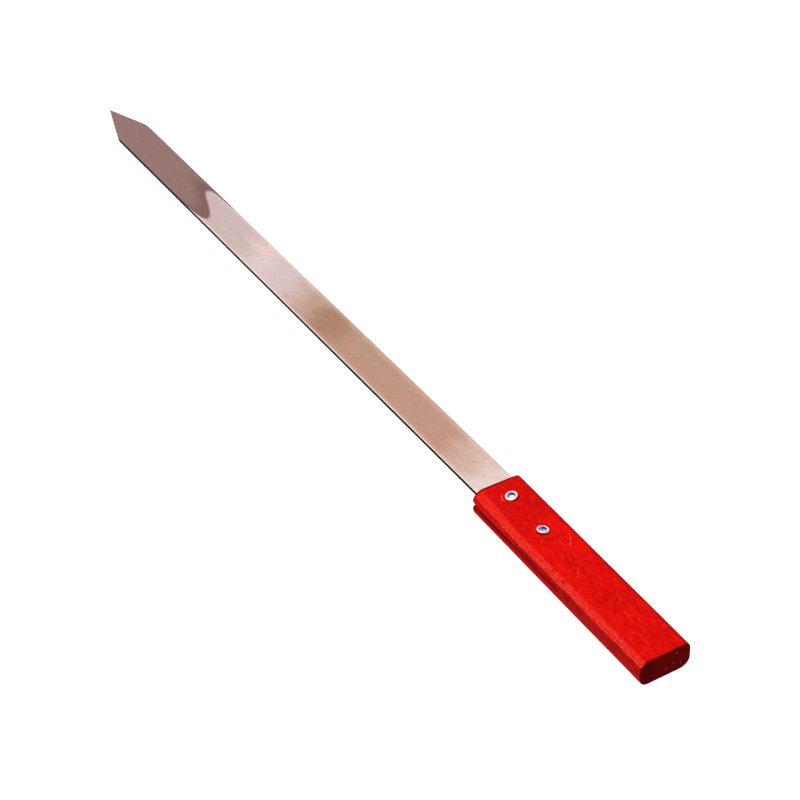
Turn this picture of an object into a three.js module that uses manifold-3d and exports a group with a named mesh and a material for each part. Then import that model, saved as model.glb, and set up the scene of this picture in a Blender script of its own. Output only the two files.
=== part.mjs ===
import * as THREE from 'three';
import { mergeVertices } from 'three/addons/utils/BufferGeometryUtils.js';
import Module from 'manifold-3d';

// A long flat pointed blade, held by its tang in the saw cut of a wooden handle with two rivets.
// Millimetres, +Z up, +X from the tip of the blade to the butt of the handle.
// The pieces are drawn with X = 0 at the front of the handle, Y = 0 on the middle line of the
// blade and Z = 0 half way through it. The finished tool is then set down on Z = 0.

const blade = {
  reach: 389, // from the front of the handle to the tip
  width: 20,
  pointWidth: 19.7, // just behind the point
  thickness: 1,
  leftPoint: 30.6, // from the tip back to the corner on the -Y edge
  rightPoint: 25.7, // and on the +Y edge, because the point is ground by hand
  leftRounding: 1.2,
  rightRounding: 3.2,
  tipRounding: 0.6,
};
const tang = { length: 64, endWidth: 17 };

// The handle is a 25 x 13 mm bar that lies a little askew to the blade.
const handle = {
  length: 126,
  front: { left: -14.9, right: 10, top: 6.65, bottom: -6.4 },
  butt: { left: -16.6, right: 8.3, top: 6.45, bottom: -6.55 },
  chamfer: { width: 2.6, depth: 2.4 }, // long flat along the upper left edge
  frontChamfer: { width: 4.5, depth: 3.8 }, // broader at the front, where it was rubbed round
  chamferBlend: 34,
  lowerLeftRadius: 5,
  lowerRightRadius: 4.8,
  upperRightRadius: 2.3,
  frontCornerRadius: 1,
  frontRimRadius: 0.6,
};
const kerf = { length: 67, height: 1.6 };

const rivet = {
  shankRadius: 2,
  rimRadius: 2.45, // to the middle of the rolled edge
  rollRadius: 0.48,
  cupRadius: 1.3,
  cupDepth: 1.9,
  headRadius: 3.5,
  headHeight: 1.2,
};
const rivetPlaces = {
  front_rivet: { x: 10.9, y: -2 },
  rear_rivet: { x: 36.8, y: -3 },
};
const boreRadius = 2.3;
const seatGap = 0.3;
const roundSides = 32;

const wasm = await Module();
wasm.setup();

const steel = new THREE.MeshStandardMaterial({ color: 0xb9aaa4, roughness: 0.25, metalness: 1 });
const redWood = new THREE.MeshStandardMaterial({ color: 0xd11010, roughness: 0.45, metalness: 0 });
const zinc = new THREE.MeshStandardMaterial({ color: 0xdcdce2, roughness: 0.3, metalness: 1 });

function toSolid(geometry) {
  const bare = geometry.clone();
  bare.deleteAttribute('normal');
  bare.deleteAttribute('uv');
  const merged = mergeVertices(bare, 1e-4);
  return new wasm.Manifold(new wasm.Mesh({
    numProp: 3,
    vertProperties: new Float32Array(merged.attributes.position.array),
    triVerts: new Uint32Array(merged.index.array),
  }));
}

function toGeometry(solid) {
  const mesh = solid.getMesh();
  const geometry = new THREE.BufferGeometry();
  geometry.setAttribute('position', new THREE.BufferAttribute(mesh.vertProperties, 3));
  geometry.setIndex(new THREE.BufferAttribute(mesh.triVerts, 1));
  geometry.computeVertexNormals();
  return geometry;
}

// A line from the last point towards the corner, and a curve round it towards the next point.
function turnCorner(outline, corner, next, rounding) {
  const last = outline.currentPoint.clone();
  const before = corner.clone().sub(last).setLength(corner.distanceTo(last) - rounding).add(last);
  const after = next.clone().sub(corner).setLength(rounding).add(corner);
  outline.lineTo(before.x, before.y);
  outline.quadraticCurveTo(corner.x, corner.y, after.x, after.y);
}

function bladeOutline() {
  const half = blade.width / 2;
  const pointHalf = blade.pointWidth / 2;
  const tip = new THREE.Vector2(-blade.reach, 0);
  const leftCorner = new THREE.Vector2(-blade.reach + blade.leftPoint, -pointHalf);
  const rightCorner = new THREE.Vector2(-blade.reach + blade.rightPoint, pointHalf);
  const leftFront = new THREE.Vector2(0, -half);
  const outline = new THREE.Shape();
  outline.moveTo(leftFront.x, leftFront.y);
  outline.lineTo(tang.length, -tang.endWidth / 2);
  outline.lineTo(tang.length, tang.endWidth / 2);
  outline.lineTo(0, half);
  turnCorner(outline, rightCorner, tip, blade.rightRounding);
  turnCorner(outline, tip, leftCorner, blade.tipRounding);
  turnCorner(outline, leftCorner, leftFront, blade.leftRounding);
  outline.closePath();
  for (const place of Object.values(rivetPlaces)) {
    const hole = new THREE.Path();
    hole.absarc(place.x, place.y, boreRadius, 0, 2 * Math.PI, true);
    outline.holes.push(hole);
  }
  return outline;
}

function makeBlade() {
  const geometry = new THREE.ExtrudeGeometry(bladeOutline(), {
    depth: blade.thickness,
    bevelEnabled: false,
    curveSegments: 16,
  });
  geometry.translate(0, 0, -blade.thickness / 2);
  return geometry;
}

// How far an edge of this radius has drawn in at a distance behind the front of the handle.
function drawnIn(distance, radius) {
  const left = Math.max(radius - distance, 0);
  return radius - Math.sqrt(radius * radius - left * left);
}

function handleSide(name, distance) {
  return THREE.MathUtils.lerp(handle.front[name], handle.butt[name], distance / handle.length);
}

function handleSection(distance) {
  const corner = drawnIn(distance, handle.frontCornerRadius);
  const rim = drawnIn(distance, handle.frontRimRadius);
  const left = handleSide('left', distance) + corner;
  const right = handleSide('right', distance) - corner;
  const top = handleSide('top', distance) - rim;
  const bottom = handleSide('bottom', distance) + rim;
  const blend = THREE.MathUtils.smoothstep(distance, 0, handle.chamferBlend);
  const width = THREE.MathUtils.lerp(handle.frontChamfer.width, handle.chamfer.width, blend);
  const depth = THREE.MathUtils.lerp(handle.frontChamfer.depth, handle.chamfer.depth, blend);
  const bulge = 0.5 + 0.25 * (1 - blend); // 0.5 is a flat chamfer
  const { lowerLeftRadius, lowerRightRadius, upperRightRadius } = handle;
  const section = new THREE.Path();
  section.moveTo(left + width, top);
  section.quadraticCurveTo(left + width * (1 - bulge), top - depth * (1 - bulge), left, top - depth);
  section.absarc(left + lowerLeftRadius, bottom + lowerLeftRadius, lowerLeftRadius,
    Math.PI, 1.5 * Math.PI);
  section.absarc(right - lowerRightRadius, bottom + lowerRightRadius, lowerRightRadius,
    1.5 * Math.PI, 2 * Math.PI);
  section.absarc(right - upperRightRadius, top - upperRightRadius, upperRightRadius,
    0, 0.5 * Math.PI);
  return section.getPoints(5);
}

// Closed skin over a row of sections that have the same number of points.
function loft(distances, sectionAt) {
  const sections = distances.map(sectionAt);
  const count = sections[0].length;
  const positions = sections.flatMap((points, i) => points.flatMap((p) => [distances[i], p.x, p.y]));
  const triangles = [];
  for (let i = 0; i + 1 < sections.length; i++) {
    for (let j = 0; j < count; j++) {
      const a = i * count + j;
      const b = i * count + (j + 1) % count;
      triangles.push(a, b, a + count, b, b + count, a + count);
    }
  }
  const lastStart = (sections.length - 1) * count;
  for (const [a, b, c] of THREE.ShapeUtils.triangulateShape(sections[0], [])) {
    triangles.push(a, c, b);
  }
  for (const [a, b, c] of THREE.ShapeUtils.triangulateShape(sections.at(-1), [])) {
    triangles.push(lastStart + a, lastStart + b, lastStart + c);
  }
  const geometry = new THREE.BufferGeometry();
  geometry.setAttribute('position', new THREE.Float32BufferAttribute(positions, 3));
  geometry.setIndex(triangles);
  return geometry;
}

function makeHandle() {
  const frontSteps = [0, 0.06, 0.16, 0.3, 0.6, 1].map((step) => step * handle.frontCornerRadius);
  const blendSteps = [0.2, 0.4, 0.6, 0.8, 1].map((step) => step * handle.chamferBlend);
  const body = loft([...frontSteps, ...blendSteps, handle.length], handleSection);
  const slot = new THREE.BoxGeometry(2 * kerf.length, 2 * blade.width, kerf.height);
  let solid = toSolid(body).subtract(toSolid(slot));
  for (const place of Object.values(rivetPlaces)) {
    const bore = new THREE.CylinderGeometry(boreRadius, boreRadius, blade.width, roundSides);
    bore.rotateX(Math.PI / 2);
    bore.translate(place.x, place.y, 0);
    solid = solid.subtract(toSolid(bore));
  }
  return toGeometry(solid);
}

// Tubular rivet: a domed head below, and above a hollow end that is rolled outwards.
function makeRivet(place) {
  const seat = handleSide('top', place.x) + seatGap;
  const headSeat = handleSide('bottom', place.x) - seatGap;
  const profile = new THREE.Path();
  profile.moveTo(0, headSeat - rivet.headHeight);
  profile.absellipse(0, headSeat, rivet.headRadius, rivet.headHeight, -0.5 * Math.PI, 0);
  profile.lineTo(rivet.shankRadius, headSeat);
  profile.lineTo(rivet.shankRadius, seat);
  profile.absarc(rivet.rimRadius, seat + rivet.rollRadius, rivet.rollRadius, -0.5 * Math.PI, Math.PI);
  profile.lineTo(rivet.cupRadius, seat - rivet.rollRadius);
  profile.lineTo(rivet.cupRadius, seat - rivet.cupDepth);
  profile.lineTo(0, seat - rivet.cupDepth - rivet.cupRadius / 2);
  const geometry = new THREE.LatheGeometry(profile.getPoints(6), roundSides);
  geometry.rotateX(Math.PI / 2);
  geometry.translate(place.x, place.y, 0);
  return geometry;
}

function addPiece(tool, name, geometry, material) {
  const piece = new THREE.Mesh(geometry, material);
  piece.name = name;
  tool.add(piece);
}

const tool = new THREE.Group();
addPiece(tool, 'blade', makeBlade(), steel);
addPiece(tool, 'handle', makeHandle(), redWood);
for (const [name, place] of Object.entries(rivetPlaces)) {
  addPiece(tool, name, makeRivet(place), zinc);
}

// Set the tool down with the origin under the middle of its box.
const box = new THREE.Box3().setFromObject(tool);
const middle = box.getCenter(new THREE.Vector3());
tool.position.set(-middle.x, -middle.y, -box.min.z);

export default tool;
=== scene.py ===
import math
from functools import partial

import bmesh
import bpy
from mathutils import Matrix, Vector, noise


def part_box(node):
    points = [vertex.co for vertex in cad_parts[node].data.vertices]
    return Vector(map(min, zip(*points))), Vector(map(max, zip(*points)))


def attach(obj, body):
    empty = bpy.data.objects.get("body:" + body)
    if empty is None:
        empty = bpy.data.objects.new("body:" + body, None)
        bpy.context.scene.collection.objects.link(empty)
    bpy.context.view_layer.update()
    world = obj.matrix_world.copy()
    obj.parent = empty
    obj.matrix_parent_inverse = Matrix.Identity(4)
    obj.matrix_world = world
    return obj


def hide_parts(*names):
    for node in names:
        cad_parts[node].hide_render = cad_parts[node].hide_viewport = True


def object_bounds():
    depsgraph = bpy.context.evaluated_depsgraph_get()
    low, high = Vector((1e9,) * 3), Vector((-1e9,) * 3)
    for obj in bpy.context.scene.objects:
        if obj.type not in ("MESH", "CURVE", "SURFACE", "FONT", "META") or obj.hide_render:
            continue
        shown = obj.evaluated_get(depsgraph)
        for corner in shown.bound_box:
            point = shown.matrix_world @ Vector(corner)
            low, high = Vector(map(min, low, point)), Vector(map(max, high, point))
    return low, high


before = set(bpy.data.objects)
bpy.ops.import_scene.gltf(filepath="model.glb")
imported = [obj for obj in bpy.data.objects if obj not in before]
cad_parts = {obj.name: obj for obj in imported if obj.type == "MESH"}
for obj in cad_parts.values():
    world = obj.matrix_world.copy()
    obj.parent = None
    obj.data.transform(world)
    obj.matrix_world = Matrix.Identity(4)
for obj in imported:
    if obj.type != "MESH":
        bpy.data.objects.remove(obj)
cadBox = [list(corner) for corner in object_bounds()]

# A long flat pointed steel blade, riveted into the saw cut of a red wooden handle.
# Sizes in the dictionaries are millimetres. Pieces are drawn with x = 0 at the front of the handle,
# y = 0 on the middle line of the blade and z = 0 half way through it; place puts them in the frame.
bladeLow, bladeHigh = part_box("blade")
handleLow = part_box("handle")[0]
drawingOrigin = Vector((handleLow.x, (bladeLow.y + bladeHigh.y) / 2, (bladeLow.z + bladeHigh.z) / 2))
mm = 0.001


def place(x, y, z):
    return drawingOrigin + Vector((x, y, z)) * mm


def placeOf(node):
    low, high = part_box(node)
    middle = ((low + high) / 2 - drawingOrigin) / mm
    return middle.x, middle.y


def linear(colour):
    channels = [int(colour[i:i + 2], 16) / 255 for i in (1, 3, 5)]
    return [c / 12.92 if c <= 0.04045 else ((c + 0.055) / 1.055) ** 2.4 for c in channels] + [1.0]


# Adds a node; a kind with no "Node" in its name is a shader node. A socket's entry is a value, a node whose
# first output is linked, or one output of a node. stops are for a colour ramp.
def addNode(tree, kind, sockets=None, stops=None, **settings):
    node = tree.nodes.new(kind if "Node" in kind else "ShaderNode" + kind)
    for setting, value in settings.items():
        setattr(node, setting, value)
    for socket, value in (sockets or {}).items():
        if isinstance(value, bpy.types.Node):
            value = value.outputs[0]
        if isinstance(value, bpy.types.NodeSocket):
            tree.links.new(value, node.inputs[socket])
        else:
            node.inputs[socket].default_value = value
    if stops:
        ramp = node.color_ramp.elements
        while len(ramp) < len(stops):
            ramp.new(1.0)
        for element, (position, colour) in zip(ramp, stops):
            element.position = position
            element.color = linear(colour) if isinstance(colour, str) else [colour] * 3 + [1.0]
    return node


def newMaterial(name):
    material = bpy.data.materials.new(name)
    material.use_nodes = True
    material.node_tree.nodes.clear()
    return material, material.node_tree


# Object coordinates in millimetres, measured in the drawing's own frame.
def drawingCoordinates(tree):
    where = addNode(tree, "TexCoord")
    fromOrigin = addNode(tree, "VectorMath", {
        0: where.outputs["Object"], 1: -drawingOrigin}, operation="ADD")
    return addNode(tree, "VectorMath", {0: fromOrigin, "Scale": 1 / mm}, operation="SCALE")


def finishMaterial(tree, shader):
    addNode(tree, "OutputMaterial", {"Surface": shader})


def clamp01(value):
    return min(max(value, 0.0), 1.0)


def smooth(value, start, end):
    t = clamp01((value - start) / (end - start))
    return t * t * (3 - 2 * t)


def mix(a, b, share):
    return a + (b - a) * share


def spread(start, end, count):
    return [mix(start, end, i / count) for i in range(count + 1)]


def makePiece(name, points, faces, materials):
    mesh = bpy.data.meshes.new(name)
    mesh.from_pydata([place(*p) for p in points], [], faces)
    for material in materials:
        mesh.materials.append(material)
    piece = bpy.data.objects.new(name, mesh)
    bpy.context.scene.collection.objects.link(piece)
    return piece


def closeUp(piece):
    shape = bmesh.new()
    shape.from_mesh(piece.data)
    bmesh.ops.remove_doubles(shape, verts=shape.verts, dist=2e-7)
    bmesh.ops.recalc_face_normals(shape, faces=shape.faces)
    shape.to_mesh(piece.data)
    shape.free()


def shade(piece, sharpAngle):
    piece.data.shade_smooth()
    piece.data.set_sharp_from_angle(angle=math.radians(sharpAngle))


# Drills the two rivet holes right through a piece.
def drill(piece, radius):
    points = []
    faces = []
    steps = 48
    for node in ("front_rivet", "rear_rivet"):
        x, y = placeOf(node)
        first = len(points)
        for z in (-12, 12):
            for turn in spread(0, math.tau, steps)[:-1]:
                points.append((x + radius * math.cos(turn), y + radius * math.sin(turn), z))
        for j in range(steps):
            k = (j + 1) % steps
            faces.append((first + j, first + k, first + steps + k, first + steps + j))
        faces.append(tuple(first + j for j in reversed(range(steps))))
        faces.append(tuple(first + steps + j for j in range(steps)))
    bits = makePiece(piece.name + "_bits", points, faces, [])
    cut = piece.modifiers.new("bores", "BOOLEAN")
    cut.operation = "DIFFERENCE"
    cut.solver = "EXACT"
    cut.object = bits
    bpy.context.view_layer.update()
    drilled = bpy.data.meshes.new_from_object(piece.evaluated_get(bpy.context.evaluated_depsgraph_get()))
    piece.modifiers.remove(cut)
    undrilled = piece.data
    piece.data = drilled
    drilled.name = piece.name
    bpy.data.meshes.remove(undrilled)
    bpy.data.objects.remove(bits)


bladeSize = {
    "reach": 389,  # front of the handle to the drawn point
    "halfWidth": 10,
    "pointHalfWidth": 9.85,
    "thickness": 1,
    "leftPoint": 30.6,
    "rightPoint": 25.7,
    "leftRounding": 1.2,
    "rightRounding": 3.2,
    "tipRounding": 0.6,
    "tangLength": 64,
    "tangHalfWidth": 8.5,
    "boreRadius": 2.3,
    "edgeRadius": 0.09,  # broken edge of the sheared strip
    "rollOver": 0.03,  # the face falls away a little towards each sheared edge
    "rollOverWidth": 1.3,
    "shadedEdgeWidth": 0.62,  # painted dark shade along the left border of the face
    "step": 3.0,
}

steelLook = {
    "darkReflectionTip": "#8d6f6b",
    "darkReflectionBand": "#7b5b58",
    "cream": "#dccbc2",
    # painted reflections and tints of the bright part:
    # share of the way from brightFrom to brightTo, mm from the tip
    "brightFrom": 100.0,
    "brightTo": 400.0,
    "zones": ((0.06, "#c4b4b3"), (0.18, "#c4b4b3"), (0.25, "#d4c6c6"), (0.31, "#cebfc0"),
              (0.35, "#c6b1a8"), (0.4, "#b89c8b"), (0.46, "#a57f6a"), (0.53, "#b4927e"),
              (0.8, "#ba9583"), (0.88, "#ceb2a4"), (0.94, "#e0d0ca")),
    # where the painted dark reflection ends: share of the way from left to right,
    # share of its depth past its start
    "darkReflectionStart": 82.0,
    "darkReflectionDepth": 50.0,
    "darkReflectionBorder": ((0.0, 0.2), (0.03, 0.5), (0.12, 0.82), (0.215, 0.86), (0.37, 0.79), (0.525, 0.64),
                   (0.665, 0.48), (0.795, 0.405), (0.905, 0.46), (0.955, 0.75), (1.0, 1.0)),
    "cool": "#fbf8f8",
    "warm": "#fff1ee",
    "edgeHighlight": "#eedfd6",
    "creamSpot": (166, 5),  # from the tip, and across
    "roughness": 0.24,
}


def roundCorner(before, corner, after, rounding, steps=8):
    start = corner + (before - corner).normalized() * rounding
    end = corner + (after - corner).normalized() * rounding
    return [start.lerp(corner, t).lerp(corner.lerp(end, t), t) for t in spread(0, 1, steps)]


def bladeEdges(size):
    tip = Vector((-size["reach"], 0))
    left = Vector((-size["reach"] + size["leftPoint"], -size["pointHalfWidth"]))
    right = Vector((-size["reach"] + size["rightPoint"], size["pointHalfWidth"]))
    leftFront = Vector((0, -size["halfWidth"]))
    rightFront = Vector((0, size["halfWidth"]))
    tipTurn = roundCorner(left, tip, right, size["tipRounding"])
    leftEdge = list(reversed(tipTurn[:5]))
    leftEdge += roundCorner(tip, left, leftFront, size["leftRounding"])
    leftEdge += [leftFront, Vector((size["tangLength"], -size["tangHalfWidth"]))]
    rightEdge = tipTurn[4:]
    rightEdge += roundCorner(tip, right, rightFront, size["rightRounding"])
    rightEdge += [rightFront, Vector((size["tangLength"], size["tangHalfWidth"]))]
    return leftEdge, rightEdge


def edgeAt(edge, x):
    for a, b in zip(edge, edge[1:]):
        if x <= b.x:
            return mix(a.y, b.y, clamp01((x - a.x) / max(b.x - a.x, 1e-9)))
    return edge[-1].y


# Half of the strip's section, from the middle of its side to the middle of its face: how far in, how high.
def stripProfile(size):
    half = size["thickness"] / 2
    radius = size["edgeRadius"]
    profile = [(0, 0), (0, 0.18), (0, half - size["rollOver"] - radius)]
    for angle in (22.5, 45, 67.5, 90):
        turn = math.radians(angle)
        inward = radius * (1 - math.cos(turn))
        profile.append((inward, half - size["rollOver"] - radius * (1 - math.sin(turn))))
    for inward in (0.31, size["shadedEdgeWidth"], 0.8, 1.05, 1.3, 2.2, 3.6):
        fall = size["rollOver"] * max(1 - (inward - radius) / (size["rollOverWidth"] - radius), 0) ** 2
        profile.append((inward, half - fall))
    return profile


def makeBlade(size, faceSteel, edgeSteel):
    leftEdge, rightEdge = bladeEdges(size)
    start = leftEdge[0].x
    end = size["tangLength"]
    stations = {round(p.x, 4) for p in leftEdge + rightEdge}
    behindPoint = (0.01, 0.03, 0.1, 0.5, 1, 2, 3.2, 4.6, 6.4, 8.5, 11, 14, 17, 20)
    stations |= {round(start + d, 4) for d in behindPoint}
    stations |= {round(x, 4) for x in spread(start + 22, end, int((end - start - 22) / size["step"]))}
    stations = sorted(x for x in stations if start <= x <= end)
    kept = stations[:1]
    for x in stations[1:]:
        if x - kept[-1] > 0.004:
            kept.append(x)
    profile = stripProfile(size)
    middleSteps = 7
    points = []
    for x in kept:
        left = edgeAt(leftEdge, x)
        right = edgeAt(rightEdge, x)
        width = max(right - left, 0.002)
        shrink = min(1, width / 2 / (profile[-1][0] + 1.4))
        across = [(left + d * shrink, z) for d, z in profile]
        inner = profile[-1][0] * shrink
        top = profile[-1][1]
        across += [(y, top) for y in spread(left + inner, right - inner, middleSteps)[1:-1]]
        across += [(right - d * shrink, z) for d, z in reversed(profile)]
        upper = across
        lower = [(y, -z) for y, z in reversed(across[1:-1])]
        points.append([(x, y, z) for y, z in upper + lower])
    count = len(points[0])
    faces = []
    for i in range(len(points) - 1):
        for j in range(count):
            k = (j + 1) % count
            faces.append((i * count + j, i * count + k, (i + 1) * count + k, (i + 1) * count + j))
    faces.append(tuple(range(count)))
    last = (len(points) - 1) * count
    faces.append(tuple(last + j for j in reversed(range(count))))
    piece = makePiece("blade_strip", [p for ring in points for p in ring], faces, [faceSteel, edgeSteel])
    closeUp(piece)
    drill(piece, size["boreRadius"])
    # the sides and a thin border of the face at the left edge take the painted shade
    shadedEdgeSide = (place(0, size["shadedEdgeWidth"] - size["halfWidth"], 0)).y
    for face in piece.data.polygons:
        if abs(face.normal.z) < 0.93 or face.center.y < shadedEdgeSide:
            face.material_index = 1
    shade(piece, 35)
    return piece


handleSize = {
    "length": 126,
    "front": {"left": -14.9, "right": 10, "top": 6.65, "bottom": -6.4},
    "butt": {"left": -16.6, "right": 8.8, "top": 6.45, "bottom": -6.55},
    "chamferWidth": 2.6,
    "chamferDepth": 2.4,
    "frontChamferWidth": 4.5,
    "frontChamferDepth": 3.8,
    "chamferBlend": 34,
    "lowerLeftRadius": 4,
    "lowerRightRadius": 4.8,
    "upperRightRadius": 2.3,
    "buttUpperRightRadius": 3.5,
    "buttLowerLeftRadius": 4.4,
    "frontLead": (0.9, 0.35),  # the front is sawn a little askew: how far it reaches out at left and right
    "frontCornerRadius": 1,
    "frontRimRadius": 0.6,
    "buttRimRadius": 0.3,
    "kerfLength": 67,
    "kerfHeight": 1.6,
    "lipRadius": 0.3,
    "mouthRadius": 1.3,  # the lips are rounded off where the blade goes in
    "mouthLength": 9,
    "boreRadius": 2.3,
    "rivetDent": 0.12,
}

woodLook = {
    "top": "#da0c0a",
    "topDark": "#bf0907",
    "topLight": "#ea130d",
    "topFront": "#c60a08",
    "fleck": "#f0382a",
    "chamferFront": "#e01b13",
    "chamfer": "#d8241c",
    "chamferDark": "#cc1c16",
    "chamferPale": "#e84438",
    "chamferBare": "#f67a66",
    "side": "#980806",
    "sideDark": "#840505",
    "sideFront": "#ac100c",
    "sideDeep": "#700403",
    "sideStreak": "#b8160f",
    "lowerJaw": "#980b0a",
    "kerfBlotchAndShade": "#540302",
    "kerf": "#a80604",
    "kerfShade": "#5a0202",
    "endGrain": "#5a0001",
    "endDark": "#3e0001",
    "endDeep": "#440002",  # towards the left
    "endSpeck": "#9a2a28",
    "outline": "#780303",
    "rightEdgeShade": "#8c0404",
    "rimShadow": "#160002",
    "pore": "#7a0405",
    "bare": "#ff5a40",
    "roughness": 0.5,
    # knocks through the stain: from x, y to x, y, half width, strength
    "scratches": (
        (44, 5.6, 47.5, 4.1, 0.4, 0.7), (47.5, 4.1, 51.3, 1, 0.4, 0.8), (56, -6.3, 57, -3.8, 0.5, 0.6),
        (63.8, -3.2, 69.5, -7.6, 0.45, 0.5), (29.5, 0.6, 31.2, -0.9, 0.6, 0.45),
        (34.1, 1.6, 36, 1.4, 0.5, 0.4), (86.5, 0, 91, -0.7, 0.5, 0.3), (93, 0.2, 97.5, -0.1, 0.45, 0.28),
        (96.5, -3.8, 101, -4.1, 0.6, 0.3),
        (110.6, -3.4, 110.9, -3.3, 0.6, 0.4), (108.3, 2.9, 108.6, 3, 0.5, 0.4),
    ),
    # knots and pits: x, y, half width, strength
    "pits": ((19.5, -3.8, 0.9, 0.75), (28.5, -4.5, 1, 0.5), (59.8, -14.1, 0.8, 1), (67.8, -14, 1, 1)),
    # how much higher the lighter chamfer colour, wear with painted sheen, starts along the handle: share of
    # the length, mm
    "sheenAndWearLine": ((0.0, 0.33), (0.2, 0.33), (0.3, 0.2), (0.36, 0.33), (0.44, 0.2), (0.52, 0.33), (1.0, 0.35)),
    # a punch slipped round each rivet: rivet, radius, middle of the mark x, y, reach, half width, strength
    "punchArcs": (("front_rivet", 4.3, 9.6, -6.1, 3.4, 0.34, 1.3),
                  ("rear_rivet", 5.8, 31.7, 0.1, 3.4, 0.25, 0.35)),
    # paler dots on the butt: y, z, half width
    "buttDots": ((1.8, 3.4, 0.8), (4, -3.1, 0.7), (0.3, -1.4, 0.7), (-3.5, -3, 0.8)),
}


def drawnIn(distance, radius):
    left = max(radius - distance, 0)
    return radius - math.sqrt(max(radius * radius - left * left, 0))


def arc(centreY, centreZ, radius, start, end, steps):
    return [
        (centreY + radius * math.cos(math.radians(a)), centreZ + radius * math.sin(math.radians(a)))
        for a in spread(start, end, steps)
    ]


# The upper and the lower part of the handle's section, each from the left lip of the kerf to its right lip.
def handleSection(size, x, lip):
    back = size["length"] - x
    corner = drawnIn(x, size["frontCornerRadius"]) + drawnIn(back, size["buttRimRadius"])
    rim = drawnIn(x, size["frontRimRadius"]) + drawnIn(back, size["buttRimRadius"])
    share = x / size["length"]
    left = mix(size["front"]["left"], size["butt"]["left"], share) + corner
    right = mix(size["front"]["right"], size["butt"]["right"], share) - corner
    top = mix(size["front"]["top"], size["butt"]["top"], share) - rim
    bottom = mix(size["front"]["bottom"], size["butt"]["bottom"], share) + rim
    blend = smooth(x, 0, size["chamferBlend"])
    width = mix(size["frontChamferWidth"], size["chamferWidth"], blend)
    depth = mix(size["frontChamferDepth"], size["chamferDepth"], blend)
    wander = noise.noise(Vector((x / 9, 3.1, 0.4))) * 0.3 + noise.noise(Vector((x / 3, 7.7, 0.2))) * 0.12
    depth += wander * blend
    bulge = 0.5 + 0.25 * (1 - blend)
    half = size["kerfHeight"] / 2
    radius = mix(size["mouthRadius"], size["lipRadius"], smooth(x, 0, size["mouthLength"]))

    # a quarter turn of the lip, from its outer end to the kerf
    def lipTurn(edge, inward, side):
        turned = []
        for t in spread(0, 1, 4):
            turn = math.radians(90 * t)
            rounded = (edge + inward * radius * (1 - math.cos(turn)), half + radius * (1 - math.sin(turn)))
            square = (edge, half + radius * (1 - t))
            turned.append((mix(square[0], rounded[0], lip), side * mix(square[1], rounded[1], lip)))
        return turned

    upper = lipTurn(left, 1, 1)[::-1]
    upper += [(left, z) for z in spread(half + radius, top - depth, 7)[1:]]
    knee = (left + width * (1 - bulge), top - depth * (1 - bulge))
    for t in spread(0, 1, 10)[1:]:
        y = (1 - t) ** 2 * left + 2 * t * (1 - t) * knee[0] + t * t * (left + width)
        z = (1 - t) ** 2 * (top - depth) + 2 * t * (1 - t) * knee[1] + t * t * top
        upper.append((y, z))
    cornerRadius = mix(size["upperRightRadius"], size["buttUpperRightRadius"], share)
    upper += [(y, top) for y in spread(left + width, right - cornerRadius, 32)[1:]]
    upper += arc(right - cornerRadius, top - cornerRadius, cornerRadius, 90, 0, 8)[1:]
    upper += [(right, z) for z in spread(top - cornerRadius, half + radius, 6)[1:]]
    upper += lipTurn(right, -1, 1)[1:]
    leftRadius = mix(size["lowerLeftRadius"], size["buttLowerLeftRadius"], smooth(x, 70, 126))
    rightRadius = size["lowerRightRadius"]
    lower = lipTurn(left, 1, -1)[::-1]
    lower += arc(left + leftRadius, bottom + leftRadius, leftRadius, 180, 270, 14)
    lower += [(y, bottom) for y in spread(left + leftRadius, right - rightRadius, 26)[1:]]
    lower += arc(right - rightRadius, bottom + rightRadius, rightRadius, 270, 360, 14)[1:]
    lower += lipTurn(right, -1, -1)
    return upper, lower


# Marks which corners lie in the kerf and which on the sawn ends.
def markWood(mesh, size):
    half = size["kerfHeight"] / 2
    kerf = []
    endGrain = []
    for face in mesh.polygons:
        centreX = (face.center.x - drawingOrigin.x) / mm
        onEnd = abs(face.normal.x) > 0.9 and (centreX < 0.01 or centreX > size["length"] - 0.01)
        for index in face.vertices:
            height = abs(mesh.vertices[index].co.z - drawingOrigin.z) / mm
            inside = not onEnd and centreX < size["kerfLength"] + 0.01
            kerf.append(clamp01(1 - (height - half) / 0.18) if inside else 0.0)
            endGrain.append(1.0 if onEnd else 0.0)
    for name, values in (("kerf", kerf), ("endGrain", endGrain)):
        mesh.attributes.new(name, "FLOAT", "CORNER").data.foreach_set("value", values)


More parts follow.
